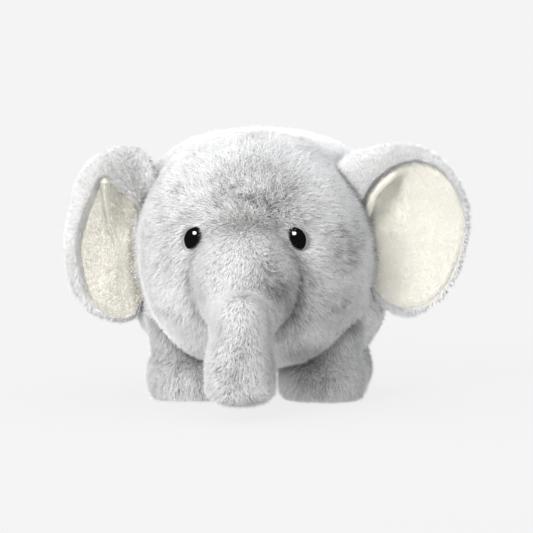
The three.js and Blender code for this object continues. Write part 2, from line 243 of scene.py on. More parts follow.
def meld(skin, other, radius, most):
    """Fills the crease where a skin meets another form, moving no point by more than `most`."""
    start = skin.points.copy()
    normals = skin.normals()
    for _ in range(8):
        mine = ((skin.points - start) * normals).sum(1)
        gap = form_gap(skin.points, other, -INSET)
        share = np.clip(0.5 + 0.5 * (gap - mine) / radius, 0, 1)
        joined = gap * (1 - share) + mine * share - radius * share * (1 - share)
        moved = ((skin.points - start) * normals).sum(1) - 0.6 * joined
        skin.points = start + normals * np.clip(moved, 0, most)[:, None]
    return skin


def rumpled(skin, height, size, seed):
    """The same skin with soft lumps, as stuffing makes."""
    lumps = noise(skin.points, size, seed) + 0.5 * noise(skin.points, size / 2, seed + 5)
    skin.points = skin.points + skin.normals() * (lumps * height)[:, None]
    return skin


def along(line, count):
    """A smooth curve through the rows of a table, sampled evenly by row number."""
    padded = np.vstack([2 * line[0] - line[1], line, 2 * line[-1] - line[-2]])
    place = np.linspace(0, len(line) - 1, count)
    index = np.minimum(place.astype(int), len(line) - 2)
    t = (place - index)[:, None]
    a, b, c, d = (padded[index + step] for step in range(4))
    return 0.5 * (2 * b + (c - a) * t + (2 * a - 5 * b + 4 * c - d) * t**2
                  + (3 * b - a - 3 * c + d) * t**3)


KNEE = 0.45  # share of the trunk's line where it turns down
KNEE_LAG = 0.05  # how much further down the trunk's sides turn
KNEE_DIP = 7.0  # depth of the saddle above that turn
KNEE_DIP_SPAN = 0.045
KNEE_BULGE = 9.5  # height of the rounded knee below the saddle


def tube(line, grow, end_round, count=120, around=96, first=0.0, last=1.0, knee=True):
    """A bent tube in the plane x = 0, round at both ends. `line` is y, z, width, depth."""
    station = along(line, count)
    share = np.linspace(0, 1, count)
    kept = (share >= first) & (share <= last)
    forward = unit(np.gradient(station[:, :2], axis=0))
    under = np.stack([-forward[:, 1], forward[:, 0]], 1)
    to_end = np.minimum(share, 1 - share) / end_round
    close = np.sqrt(np.clip(1 - np.clip(1 - to_end, 0, 1) ** 2, 0, 1))
    turn = np.linspace(0, 2 * np.pi, around, endpoint=False)
    wide = (station[:, 2] + grow) * close
    deep = (station[:, 3] + grow) * close
    push = np.where(share < 0.5, -grow, grow) * (1 - close)
    rings = np.zeros((count, around, 3))
    rings[..., 0] = wide[:, None] * np.cos(turn)
    lift = deep[:, None] * np.sin(turn)
    for axis in (0, 1):
        middle = station[:, axis] + forward[:, axis] * push
        rings[..., 1 + axis] = middle[:, None] + under[:, axis, None] * lift
    if knee:
        past = share[:, None] - KNEE - KNEE_LAG * np.cos(turn) ** 2
        saddle = KNEE_DIP * np.exp(-((past + KNEE_DIP_SPAN) / KNEE_DIP_SPAN) ** 2)
        bulge = KNEE_BULGE * smooth(past, -0.025, 0.035) * (1 - smooth(past, 0.12, 0.4))
        sink = (saddle - bulge) * np.sqrt(np.clip(-np.sin(turn), 0, 1))
        for axis in (0, 1):
            rings[..., 1 + axis] += under[:, axis, None] * sink
    rings = rings[kept] + SHIFT
    middle = rings.mean(1)
    mark = np.repeat(share[kept][1:-1], around)
    marks = {"share": np.concatenate([[share[kept][0]], mark, [share[kept][-1]]])}
    return skin_of_rings(middle[0], rings[1:-1], middle[-1], marks)


LEG_PROFILE = np.array([  # height, radius
    (1.5, 27.0), (3, 31), (7, 35.5), (13, 38), (21, 38.5), (29, 37.5), (37, 35.5),
    (44, 34.5), (52, 35.5), (62, 36.5), (74, 36.5), (88, 35.0),
])
FOOT = {"height": 15, "span": 14, "bulge": 2.0}
ANKLE = {"height": 42, "span": 11, "crease": 4.5}
DIMPLE = {"depth": 3.2, "half_angle": 0.16}


def leg_form(x, y, grow, around=72, down=56):
    """A stubby leg: a soft foot that bulges forward, a crease above it, and the leg."""
    turn = np.linspace(0, 2 * np.pi, around, endpoint=False)
    front = np.clip(-np.sin(turn), 0, 1)
    toe = np.exp(-((turn - 1.5 * np.pi) / DIMPLE["half_angle"]) ** 2)
    rings = []
    for height, radius in along(LEG_PROFILE, down):
        foot = math.exp(-((height - FOOT["height"]) / FOOT["span"]) ** 2)
        ankle = math.exp(-((height - ANKLE["height"]) / ANKLE["span"]) ** 2)
        reach = radius + grow + (FOOT["bulge"] * foot - ANKLE["crease"] * ankle) * front**2
        reach = reach - DIMPLE["depth"] * foot * toe
        rings.append(np.stack([
            x + reach * np.cos(turn), y + reach * np.sin(turn), np.full(around, height),
        ], 1))
    rings = np.array(rings) + SHIFT
    return skin_of_rings(rings[0].mean(0), rings, rings[-1].mean(0))


# ---- Ears: a padded grey back that rolls over the rim, and a cupped lining ----

# By angle round the ear from straight outwards: how far its outline stands from the plain
# oval, and how far out the lining reaches, both as shares of the oval.
OUTLINE = {
    "left": [(0, 1.0), (12, 1.04), (29, 1.05), (66, 1.05), (83, 1.05), (100, 1.09), (112, 1.18),
             (122, 1.28), (132, 1.42), (145, 1.42), (160, 1.2), (180, 1.0), (215, 1.06),
             (240, 1.04), (258, 0.96), (270, 0.92), (290, 0.88), (306, 0.86), (332, 0.87),
             (350, 0.93), (360, 1.0)],
    "right": [(0, 0.85), (26, 0.86), (48, 0.88), (70, 0.91), (88, 0.96), (100, 1.04), (119, 1.26),
              (132, 1.42), (145, 1.42), (160, 1.25), (180, 1.14), (200, 1.12), (216, 1.14),
              (230, 1.14), (242, 1.05), (269, 0.97), (291, 0.99), (316, 1.0), (342, 0.93),
              (360, 0.87)],
}
LINING_EDGE = {
    "left": [(0, 0.93), (18, 0.96), (32, 0.965), (52, 0.93), (70, 0.885), (85, 0.83), (110, 0.81),
             (132, 0.85), (150, 0.88), (172, 0.97), (210, 1.02), (230, 1.0), (251, 0.93),
             (279, 0.86), (298, 0.82), (320, 0.81), (344, 0.86), (360, 0.93)],
    "right": [(0, 0.6), (8, 0.58), (41, 0.55), (60, 0.61), (82, 0.73), (96, 0.69), (112, 0.68),
              (126, 0.7), (139, 0.82), (150, 0.95), (165, 1.1), (180, 1.12), (216, 1.12),
              (232, 1.1), (248, 1.0), (269, 0.94), (288, 0.9), (306, 0.82), (323, 0.74),
              (338, 0.72), (354, 0.63), (360, 0.6)],
}


def by_angle(table, turn):
    """A table's value at each angle, smooth from row to row."""
    places, values = np.array(table).T
    degrees = np.degrees(turn)
    total = np.zeros(len(turn))
    for nudge in (-9, -4.5, 0, 4.5, 9):
        total += np.interp(np.mod(degrees + nudge, 360), places, values)
    return total / 5


def ear_frame(name):
    """Where an ear's root is, and its outward, up and front directions."""
    ear = EARS[name]
    side = ear["side"]
    joint = next(j for j in frame["joints"] if j["name"] == name + "_ear_flop")
    hinge = side * np.array(joint["axis"])
    root = np.array(joint["pos_m"]) / MM

    def turned(vector, axis, degrees):
        angle = math.radians(degrees)
        return (vector * math.cos(angle) + np.cross(axis, vector) * math.sin(angle)
                + axis * (axis @ vector) * (1 - math.cos(angle)))

    lean = math.asin(-side * hinge[0] * EAR["lean"])
    outward = turned(np.array([side * math.cos(lean), 0, math.sin(lean)]), hinge, side * ear["sweep"])
    front = side * np.cross(outward, hinge)
    drop = -side * ear["droop"]
    return root, turned(outward, front, drop), turned(hinge, front, drop), front


def fold_depth(name, turn, inward, across, height):
    """How far the lining stands forward or back of the ear's plain cup: its pleat and waves."""
    if name == "left":
        beside = np.exp(-((np.degrees(turn) - 122) / 34) ** 4)
        lip = smooth(inward, -2, 3) * (1 - smooth(inward, 8, 13))
        hollow = smooth(inward, 9, 14) * (1 - smooth(inward, 16, 56))
        wave = np.exp(-((across + 30) / 12) ** 2 - ((height + 40) / 26) ** 2)
        swell = np.exp(-((across - 18) / 14) ** 2 - ((height + 20) / 40) ** 2)
        return beside * (9 * lip - 9 * hollow) - 6 * wave + 2.5 * swell
    ridge = np.exp(-((across - 2) / 6) ** 2) * smooth(height, -15, 40)
    hollow = np.exp(-((across + 17) / 12) ** 2) * smooth(height, -30, 25)
    wave = np.exp(-((across + 2) / 10) ** 2 - ((height + 34) / 22) ** 2)
    return 10 * ridge - 13 * hollow - 5 * wave


def ear_skins(name, around=144):
    """The ear's grey padded back and rim, and its lining."""
    root, outward, up, front = ear_frame(name)
    turn = np.linspace(0, 2 * np.pi, around, endpoint=False)
    outline = by_angle(OUTLINE[name], turn)
    wide = (EAR["half_width"] - INSET) * outline
    tall = (EAR["half_height"] - INSET) * outline
    reach = np.hypot(wide * np.cos(turn), tall * np.sin(turn))
    lining_edge = np.minimum(by_angle(LINING_EDGE[name], turn) / outline, 0.985)

    def placed(rho, depth, folded=1.0):
        across = rho * wide * np.cos(turn)
        height = rho * tall * np.sin(turn)
        inward = (lining_edge - rho) * reach
        fold = fold_depth(name, turn, inward, across, height) * smooth(inward, -3, 5) * folded
        limit = EAR["cup_limit"]
        depth = depth + EAR["cup"] * np.tanh((rho * outline) ** 2 / limit) * limit + fold
        return (root + np.outer(EAR["middle"] + across, outward) + np.outer(height, up)
                + np.outer(depth, front))

    def rim(rho):
        return np.sqrt(np.clip(1 - rho**5, 0, 1))

    puff = EAR["puff"] + EAR["wide_puff"] * np.clip(1 - lining_edge, 0, 0.4)
    rings, lined = [], []
    for angle in np.linspace(0.04, math.pi / 2, 40):
        rho = math.sin(angle)
        rings.append(placed(rho, -EAR["back"] * rim(rho), folded=EAR["back_folds"]))
        lined.append(np.zeros(around))
    for angle in np.linspace(math.pi / 2, 0.04, 70)[1:]:
        rho = math.sin(angle)
        under = smooth((lining_edge - rho) * reach, -2, 2)
        rings.append(placed(rho, puff * rim(rho) * (1 - under) - under))
        lined.append(under)
    rings = np.array(rings)
    cover = np.concatenate([[0], np.array(lined).ravel(), [1]])
    back = skin_of_rings(rings[0].mean(0), rings, rings[-1].mean(0), {"lined": cover})

    rings = []
    back_rows, front_rows = 44, 60
    for share in np.linspace(0.03, 1, back_rows):
        rings.append(placed(share * (lining_edge + 0.01), -EAR["lining_back"]))
    for share in np.linspace(1, 0.03, front_rows):
        depth = EAR["lining"] - 1.4 * smooth(share, 0.9, 1)
        rings.append(placed(share * (lining_edge + 0.01), depth))
    rings = np.array(rings)
    faces_front = np.concatenate([[0], np.repeat([0] * back_rows + [1] * front_rows, around), [1]])
    lining = skin_of_rings(rings[0].mean(0), rings, rings[-1].mean(0), {"front": faces_front})
    return back, lining


# ---- Meshes ----

def link(name, mesh, material):
    piece = bpy.data.objects.new(name, mesh)
    bpy.context.scene.collection.objects.link(piece)
    mesh.materials.append(material)
    return piece


def skin_piece(name, skin, material):
    mesh = bpy.data.meshes.new(name)
    mesh.from_pydata((skin.points * MM).tolist(), [], skin.faces)
    mesh.shade_smooth()
    return link(name, mesh, material)


def clearance(points, trees):
    """How far each point lies outside every one of the closed skins. Below 0 is inside."""
    gap = np.full(len(points), np.inf)
    for tree in trees:
        for index, point in enumerate(points):
            spot = Vector(point)
            place, normal, _, distance = tree.find_nearest(spot)
            outside = (spot - place).dot(normal) >= 0
            gap[index] = min(gap[index], distance if outside else -distance)
    return gap


def scatter(skin, density, rng):
    """Random points spread evenly over a skin, with its normals and marks there."""
    corner = skin.points[skin.triangles]
    area = np.linalg.norm(np.cross(corner[:, 1] - corner[:, 0], corner[:, 2] - corner[:, 0]), axis=1) / 2
    reach = np.cumsum(area)
    count = int(reach[-1] * density)
    chosen = np.searchsorted(reach, rng.random(count) * reach[-1])
    first, second = rng.random((2, count))
    over = first + second > 1
    first[over], second[over] = 1 - first[over], 1 - second[over]
    weights = np.stack([1 - first - second, first, second], 1)
    used = skin.triangles[chosen]

    def mixed(values):
        return np.einsum("ij,ij...->i...", weights, values[used])

    marks = {name: mixed(values) for name, values in skin.marks.items()}
    return mixed(skin.points), unit(mixed(skin.normals())), marks


def tuft_mesh(name, roots, tips, normals, width, shade, material):
    """One closed three-sided spike for each tuft. Its UVs hold its shade and root to tip."""
    count = len(roots)
    direction = unit(tips - roots)
    sideways = unit(np.cross(direction, normals))
    upright = np.cross(sideways, direction)
    points = np.zeros((count, 4, 3))
    shading = np.zeros((count, 4, 3))
    for corner in range(3):
        angle = 2 * math.pi * corner / 3 + math.pi / 6
        spread = sideways * math.cos(angle) + upright * math.sin(angle)
        points[:, corner] = roots + spread * (width / 2)[:, None]
        shading[:, corner] = unit(normals * 0.75 + spread * 0.45)
    points[:, 3] = tips
    shading[:, 3] = unit(normals + direction * 0.15)
    corners = np.array([1, 0, 3, 2, 1, 3, 0, 2, 3, 0, 1, 2])
    loops = (np.arange(count)[:, None] * 4 + corners).ravel()
    mesh = bpy.data.meshes.new(name)
    mesh.vertices.add(count * 4)
    mesh.vertices.foreach_set("co", (points * MM).astype(np.float32).ravel())
    mesh.loops.add(len(loops))
    mesh.loops.foreach_set("vertex_index", loops.astype(np.int32))
    mesh.polygons.add(count * 4)
    mesh.polygons.foreach_set("loop_start", np.arange(0, len(loops), 3, dtype=np.int32))
    mesh.update(calc_edges=True)
    layer = mesh.uv_layers.new(name="OFBake")
    across = np.clip(shade, 0.02, 0.98)[:, None] + np.array([-0.012, 0.012, 0, 0])
    up = np.array([0.02, 0.02, 0.02, 0.98]) * np.ones((count, 1))
    place = np.stack([across, up], -1)[:, corners]
    layer.data.foreach_set("uv", place.astype(np.float32).ravel())
    mesh.polygons.foreach_set("use_smooth", np.ones(count * 4, bool))
    mesh.normals_split_custom_set_from_vertices(shading.reshape(-1, 3).astype(np.float32))
    return link(name, mesh, material)


# ---- Pile ----

RUFFLES_AND_PAINTED_SHADE = [  # places where the pile stands up and shows its darker roots, and where painted shade darkens it: x, z, width, height, strength
    (8, 186, 42, 24, 1.15), (30, 165, 20, 12, 0.8), (-20, 178, 20, 16, 0.7), (48, 196, 26, 18, 0.55),
    (20, 124, 18, 26, 1.0), (28, 98, 12, 20, 0.6), (4, 118, 10, 14, 0.5),
    (-12, 40, 17, 18, 1.15), (-4, 58, 8, 14, 0.9), (-22, 56, 8, 8, 0.6),
    (75, 142, 20, 28, 1.25), (64, 96, 24, 24, 1.0), (44, 110, 12, 24, 0.9),
    (48, 44, 30, 14, 1.2), (62, 22, 18, 12, 0.6), (-58, 42, 22, 11, 0.85), (-48, 24, 10, 14, 0.6),
]


def ruffle_and_painted_shade(points):
    """How ruffled the pile is at each point, from 0 to 1, which also sets how much painted shade darkens
    it.
    """
    total = np.zeros(len(points))
    for x, z, wide, high, strength in RUFFLES_AND_PAINTED_SHADE:
        spot = strength * np.exp(-((points[:, 0] - x) / wide) ** 2 - ((points[:, 2] - z) / high) ** 2)
        total = np.maximum(total, spot)
    facing = smooth(-points[:, 1], -10, 40)
    loose = 0.45 * smooth(noise(points, 17, 3) + 0.5 * noise(points, 8, 4), 0.25, 0.9)
    ragged = total * (0.75 + 0.5 * noise(points, 9, 6))
    return np.clip(np.maximum(ragged * facing, loose), 0, 1)


CREASE_SHADE_REACH = 10  # how far from a crease the pile is darkened with painted shade
EAR_SHADOW = 0.7  # how much darker the head is where an ear meets it
PAINTED_LIGHT_SPOTS = [  # painted light, where the pile is made lighter: x, z, width, height, strength
    (4, 145, 34, 14, 0.46), (-22, 124, 16, 28, 0.32), (-2, 98, 22, 9, 0.42), (-20, 66, 10, 26, 0.24),
    (14, 78, 6, 20, 0.12), (-72, 104, 16, 22, 0.14), (-4, 8, 28, 10, 0.4), (20, 30, 6, 24, 0.2),
    (-2, 46, 26, 30, 0.2), (56, 200, 30, 20, 0.22), (70, 120, 26, 50, 0.14),
]
SHADED = [  # creases, and where the pile lies away from the light: x, z, width, height, strength
    (22, 162, 24, 6, 0.12), (0, 112, 26, 4, 0.14), (22, 104, 10, 8, 0.25), (34, 86, 9, 20, 0.2),
    (-54, 18, 2.5, 13, 0.35), (55, 13, 2.5, 12, 0.4), (62, 50, 34, 8, 0.5), (-62, 50, 30, 5, 0.22),
    (-66, 176, 26, 26, 0.14),
]


def painted_light_and_shade(points):
    """Painted light and shade on the front: how much lighter each point of the pile is made, or darker
    if below 0.
    """
    total = np.zeros(len(points))
    for places, sign in ((PAINTED_LIGHT_SPOTS, 1), (SHADED, -1)):
        for x, z, wide, high, strength in places:
            spot = np.exp(-((points[:, 0] - x) / wide) ** 2 - ((points[:, 2] - z) / high) ** 2)
            total += sign * strength * spot
    return total * smooth(-points[:, 1], 20, 70)


PLAIN_SHADE = 0.64  # a tuft's shade, from 0 dark to 1 light, before anything changes it
STEEPEST, FLATTEST = 5, 82  # a tuft's least and greatest lean from its skin's normal, in degrees


def grow_pile(name, skin, material, comb, seed, density=1.6, pile=PILE, width=TUFT_WIDTH, lean=62,
              hidden=(), beside=(), keep=None, within=None, ruffled=True, clump=4.0, gather=0.5,
              tone=0.0, crease=0.3, uneven=1.0):
    """The pile of one cover, combed along `comb`, as one mesh of tufts.

    No tuft grows inside the skins in `hidden`, where `keep` says no, or where the mark named
    by `within` is out of its range. `tone` is painted light that lightens all, painted shade
    below 0, and `crease` is painted shade that darkens those by `hidden`.
    """
    rng = np.random.default_rng(seed)
    roots, normals, marks = scatter(skin, density, rng)
    share = 1 - 0.45 * smooth(roots[:, 1], -20, 40) if ruffled else np.ones(len(roots))
    chosen = rng.random(len(roots)) < share
    if keep is not None:
        chosen &= keep(roots, normals)
    if within is not None:
        mark, least, most = within
        chosen &= (marks[mark] >= least) & (marks[mark] <= most)
    roots, normals, share = roots[chosen], normals[chosen], share[chosen]
    gap = clearance(roots, hidden)
    seen = gap > 0.5
    roots, normals, share, gap = roots[seen], normals[seen], share[seen], gap[seen]
    near = np.abs(clearance(roots, beside))
    count = len(roots)
    rough = ruffle_and_painted_shade(roots) if ruffled else 0.25 * smooth(noise(roots, 14, seed), 0.2, 0.9)
    flow = comb(roots)
    swirl = np.stack([noise(roots, 24, seed + axis) for axis in range(3)], 1)
    flow = flow + 0.5 * swirl + 0.3 * rng.normal(size=(count, 3)) * (1 + rough[:, None])
    flow = unit(flow - normals * (flow * normals).sum(1)[:, None])
    angle = np.radians(np.clip(lean - 34 * rough + 10 * rng.normal(size=count), STEEPEST, FLATTEST))
    length = pile * rng.uniform(0.7, 1.12, count) * (1 + 0.1 * noise(roots, 12, seed + 9))
    direction = normals * np.cos(angle)[:, None] + flow * np.sin(angle)[:, None]
    tips = roots + direction * length[:, None]
    centre = nearest_clump(roots, clump, seed)
    offset = centre - roots
    offset -= normals * (offset * normals).sum(1)[:, None]
    strength = gather * (1 + 0.6 * rough) * rng.uniform(0.4, 1.1, count)
    tips += offset * strength[:, None]
    tips[:, 2] = np.maximum(tips[:, 2], 0.5)
    roots = roots - normals * 0.6
    clumped = lattice(np.floor(centre * 7).astype(np.int64), seed + 3)
    varied = 0.10 * noise(roots, 22, 12) + 0.18 * (clumped - 0.5) + 0.14 * rng.normal(size=count)
    # `tone` adds painted light; below 0 it is painted shade
    shade = (PLAIN_SHADE + tone + uneven * varied
             # painted shade where the pile is ruffled, partly real: its darker roots showing
             - rough * (0.35 * rng.uniform(0, 1, count) + 0.5 * smooth(clumped, 0.35, 0.85))
             # painted shade in the creases by the skins in `hidden`
             - crease * (1 - smooth(gap, 0.5, CREASE_SHADE_REACH))
             - EAR_SHADOW * (1 - smooth(near, 0.5, CREASE_SHADE_REACH)))
    # painted light and shade on the front of the pile
    if ruffled:
        shade += painted_light_and_shade(roots)
    widths = width * rng.uniform(0.7, 1.25, count) / np.sqrt(share)
    return tuft_mesh(name, roots, tips, normals, widths, shade, material)


# ---- Materials ----

def new_material(name):
    material = bpy.data.materials.new(name)
    material.use_nodes = True
    nodes = material.node_tree.nodes
    return material, nodes, material.node_tree.links.new, nodes["Principled BSDF"]


def ramp(nodes, stops):
    node = nodes.new("ShaderNodeValToRGB")
    elements = node.color_ramp.elements
    while len(elements) < len(stops):
        elements.new(0.5)
    for element, (place, colour) in zip(elements, stops):
        element.position = place
        element.color = (*colour, 1)
    return node


def tuned(node, **values):
    """The same node with its inputs set. Underscores in their names stand for spaces."""
    for name, value in values.items():
        node.inputs[name.replace("_", " ")].default_value = value
    return node


def pile_material(name, root, middle, tip, dark, sheen):
    """Pile that goes from its root colour to its tip colour, lighter or darker by tuft, from random tone
    and from painted light and shade.
    """
    material, nodes, join, shader = new_material(name)
    place = nodes.new("ShaderNodeUVMap")
    place.uv_map = "OFBake"
    split = nodes.new("ShaderNodeSeparateXYZ")
    join(place.outputs["UV"], split.inputs[0])
    along_tuft = ramp(nodes, [(0.0, root), (0.38, middle), (0.8, tip)])
    join(split.outputs["Y"], along_tuft.inputs["Fac"])
    by_tuft = ramp(nodes, [(0.0, dark), (0.62, (0.94, 0.94, 0.94)), (1.0, (1.12, 1.12, 1.12))])
    join(split.outputs["X"], by_tuft.inputs["Fac"])
    mix = tuned(nodes.new("ShaderNodeMix"), Factor=1)
    mix.data_type = "RGBA"
    mix.blend_type = "MULTIPLY"
    join(along_tuft.outputs["Color"], mix.inputs["A"])
    join(by_tuft.outputs["Color"], mix.inputs["B"])
    join(mix.outputs["Result"], shader.inputs["Base Color"])
    tuned(shader, Roughness=0.9, Specular_IOR_Level=0.15, Sheen_Weight=sheen, Sheen_Roughness=0.5)
    return material


def woven_material(name, stops, uneven, relief, height, roughness, bump, specular):
    """Cloth or thread. Noise varies its colour and roughness, and a texture gives its relief."""
    material, nodes, join, shader = new_material(name)
    place = nodes.new("ShaderNodeTexCoord")
    patches = tuned(nodes.new("ShaderNodeTexNoise"), **uneven)
    texture = nodes.new(relief[0])
    tuned(texture, **relief[1])
    for source in (patches, texture):
        join(place.outputs["Object"], source.inputs["Vector"])
    colour = ramp(nodes, stops)
    join(patches.outputs["Fac"], colour.inputs["Fac"])
    join(colour.outputs["Color"], shader.inputs["Base Color"])
    rough = tuned(nodes.new("ShaderNodeMapRange"), To_Min=roughness[0], To_Max=roughness[1])
    join(patches.outputs["Fac"], rough.inputs["Value"])
    join(rough.outputs["Result"], shader.inputs["Roughness"])
    slope = tuned(nodes.new("ShaderNodeBump"), Strength=bump[0], Distance=bump[1])
    join(texture.outputs[height], slope.inputs["Height"])
    join(slope.outputs["Normal"], shader.inputs["Normal"])
    tuned(shader, Specular_IOR_Level=specular)
    return material


def cloth_material(name, light, dark, scale, depth):
    """Knitted backing cloth with small loops."""
    return woven_material(
        name, [(0.25, dark), (0.75, light)], {"Scale": scale / 6, "Detail": 5},
        ("ShaderNodeTexVoronoi", {"Scale": scale}), "Distance",
        roughness=(0.8, 1.0), bump=(0.6, depth), specular=0.2)


def thread_material(name, colour, highlight, roughness):
    """Twisted thread, with fine ridges round each strand."""
    return woven_material(
        name, [(0.3, colour), (0.8, highlight)], {"Scale": 400},
        ("ShaderNodeTexWave", {"Scale": 900, "Distortion": 2}), "Fac",
        roughness=(roughness, roughness + 0.2), bump=(0.4, 0.0001), specular=0.05)


FUR = pile_material("grey_fur", (0.20, 0.197, 0.19), (0.70, 0.70, 0.70), (0.90, 0.905, 0.91),
                    (0.16, 0.16, 0.155), 0.9)
# the ears' fur: a lighter copy of the grey fur, painted light for their bright rims
EAR_FUR_PAINTED_LIGHT = pile_material("grey_ear_fur_painted_light", (0.66, 0.66, 0.65), (0.84, 0.84, 0.84), (0.94, 0.945, 0.95),
                        (0.24, 0.24, 0.235), 0.9)
LINING_PILE = pile_material("cream_pile", (0.80, 0.77, 0.67), (0.92, 0.90, 0.82),
                            (0.98, 0.965, 0.90), (0.34, 0.32, 0.27), 0.2)
BACKING = cloth_material("grey_backing", (0.42, 0.42, 0.41), (0.30, 0.30, 0.29), 700, 0.0006)
# the ears' backing: a lighter copy of the grey backing, painted light for their bright rims
EAR_BACKING_PAINTED_LIGHT = cloth_material("pale_backing_painted_light", (0.72, 0.72, 0.71), (0.62, 0.62, 0.61), 700, 0.0006)
LINING = cloth_material("cream_backing", (0.94, 0.92, 0.84), (0.88, 0.85, 0.75), 900, 0.0004)
BLACK_THREAD = thread_material("black_thread", (0.0015, 0.0015, 0.002), (0.004, 0.004, 0.005), 0.75)
WHITE_THREAD = thread_material("white_thread", (0.86, 0.86, 0.85), (0.95, 0.95, 0.94), 0.4)
SEWING_THREAD = thread_material("sewing_thread", (0.5, 0.5, 0.49), (0.62, 0.62, 0.6), 0.6)


# ---- Head and body ----

FACE = np.array([0, -170, 150]) + SHIFT  # the head's pile is combed away from here
HEAD_CENTRE = np.array(HEAD["centre"]) + SHIFT


def comb_head(points):
    return unit(points - FACE) * np.array([1.0, 0.9, 0.7]) + np.array([0, 0, -0.55])


def comb_down(points):
    return np.tile([0.0, 0.0, -1.0], (len(points), 1))


def comb_back(points):
    return np.tile([0.0, 1.0, -0.65], (len(points), 1))


NECK_FILL = {"radius": 40, "most": 10}  # the soft hollow between head and body
LUMPS = {"height": 1.0, "size": 34, "seed": 21}
TRUNK_ROUNDING = 0.12  # share of the trunk's line over which each end is rounded
SPLIT = 0.64  # share of the trunk's line where the lower cover starts
SPLIT_OVERLAP = 0.02  # how far each of the two skins under the covers goes past the split

head = rumpled(meld(round_form(HEAD, -INSET), BODY, **NECK_FILL), **LUMPS)
body = rumpled(meld(round_form(BODY, -INSET), HEAD, **NECK_FILL), **LUMPS)
muzzle = tube(TRUNK_LINE, -INSET, TRUNK_ROUNDING, last=SPLIT + SPLIT_OVERLAP)
tip = tube(TRUNK_LINE, -INSET, TRUNK_ROUNDING, first=SPLIT - SPLIT_OVERLAP)
whole_trunk = tube(TRUNK_LINE, -INSET, TRUNK_ROUNDING)
legs = {}
for place in ("front", "hind"):
    for name, side in (("left", 1), ("right", -1)):
        legs[place + "_" + name] = leg_form(side * LEG["x"], LEG[place + "_y"], -INSET)
trees = {"head": head.tree(), "body": body.tree(), "trunk": whole_trunk.tree()}
trees.update({name: leg.tree() for name, leg in legs.items()})
ears = {name: ear_skins(name) for name in EARS}
ear_trees = [back.tree() for back, _ in ears.values()]
leg_trees = [trees[name] for name in legs]
middle_x = SHIFT[0]


def outside_eyes(roots, grow):
    """Which points are clear of both embroidered eyes."""
    clear = np.ones(len(roots), bool)
    for name, side in (("left", 1), ("right", -1)):
        offset = roots - box_centre(name + "_eye")
        angle = math.radians(side * EYE["lean"])
        across = offset[:, 0] * math.cos(angle) + offset[:, 2] * math.sin(angle)
        up = -offset[:, 0] * math.sin(angle) + offset[:, 2] * math.cos(angle)
        oval = np.hypot(across / (EYE["half_width"] + grow), up / (EYE["half_height"] + grow))
        clear &= (oval > 1) | (roots[:, 1] > HEAD_CENTRE[1])
    return clear


def on_gusset(roots):
    return (np.abs(roots[:, 0] - middle_x) < GUSSET_HALF_WIDTH) & (roots[:, 2] > HEAD_CENTRE[2])


def on_head(roots):
    """Which points are the head's own, clear of the eyes."""
    return outside_eyes(roots, EYE["clear"]) & (form_gap(roots, HEAD) <= form_gap(roots, BODY))


def on_body(roots):
    return form_gap(roots, BODY) < form_gap(roots, HEAD)


def on_belly(roots):
    return (np.abs(roots[:, 0] - middle_x) < BELLY_HALF_WIDTH) & (roots[:, 2] < BELLY_TOP)


def panel_fur(panels, skin, comb, own, strip, **looks):
    """The piles of a cover's left, right and middle panels, each with its node and seed."""
    for side, (name, node, seed) in panels.items():

        def keep(roots, normals, side=side):
            if side == "middle":
                return strip(roots) & own(roots)
            half = roots[:, 0] >= middle_x if side == "left" else roots[:, 0] < middle_x
            return half & ~strip(roots) & own(roots)

        piece = grow_pile(name, skin, FUR, comb, seed, keep=keep, **looks)
        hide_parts(node)
        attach(piece, "torso")


head_skin = skin_piece("head_skin", head, BACKING)
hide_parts("head_filling")
head_panels = {
    "left": ("head_left_fur", "head_left_panel", 31),
    "right": ("head_right_fur", "head_right_panel", 32),
    "middle": ("forehead_fur", "forehead_gusset", 33),
}
panel_fur(head_panels, head, comb_head, on_head, on_gusset, hidden=[trees["trunk"]], beside=ear_trees)

body_skin = skin_piece("body_skin", body, BACKING)
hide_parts("body_filling")
body_panels = {
    "left": ("body_left_fur", "body_left_panel", 41),
    "right": ("body_right_fur", "body_right_panel", 42),
    "middle": ("belly_fur", "belly_panel", 43),
}
panel_fur(body_panels, body, comb_back, on_body, on_belly, density=1.0, width=0.9, hidden=leg_trees,
          crease=0.06)
for piece in (head_skin, body_skin):
    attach(piece, "torso")


# ---- Legs ----

SOLE_NORMAL = -0.8  # the sole is where the skin's normal points further down than this

for seed, (name, leg) in enumerate(legs.items(), 51):
    skin = skin_piece(name + "_leg_skin", leg, BACKING)
    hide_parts(name + "_leg_filling")
    others = [trees["body"], trees["head"]] + ([trees["trunk"]] if "front" in name else [])
    sides = grow_pile(
        name + "_leg_fur", leg, FUR, comb_down, seed, hidden=others,
        keep=lambda roots, normals: (normals[:, 2] > SOLE_NORMAL) & (roots[:, 2] > 2))
    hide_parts(name + "_leg_cover")
    sole = grow_pile(
        name + "_sole_fur", leg, FUR, comb_back, seed + 10, density=0.9, pile=4, lean=80,
        keep=lambda roots, normals: (normals[:, 2] <= SOLE_NORMAL) & (roots[:, 2] < 8))
    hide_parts(name + "_sole")
    for piece in (skin, sides, sole):
        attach(piece, "torso")


# ---- Muzzle and trunk ----


def comb_trunk(points):
    """Down the trunk, and outwards over the muzzle."""
    flow = np.tile([0.0, -0.25, -1.0], (len(points), 1))
    flow[:, 0] = 0.012 * (points[:, 0] - middle_x)
    return flow


def blended(piece):
    """Bakes a piece's placing into its mesh."""
    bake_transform(piece)


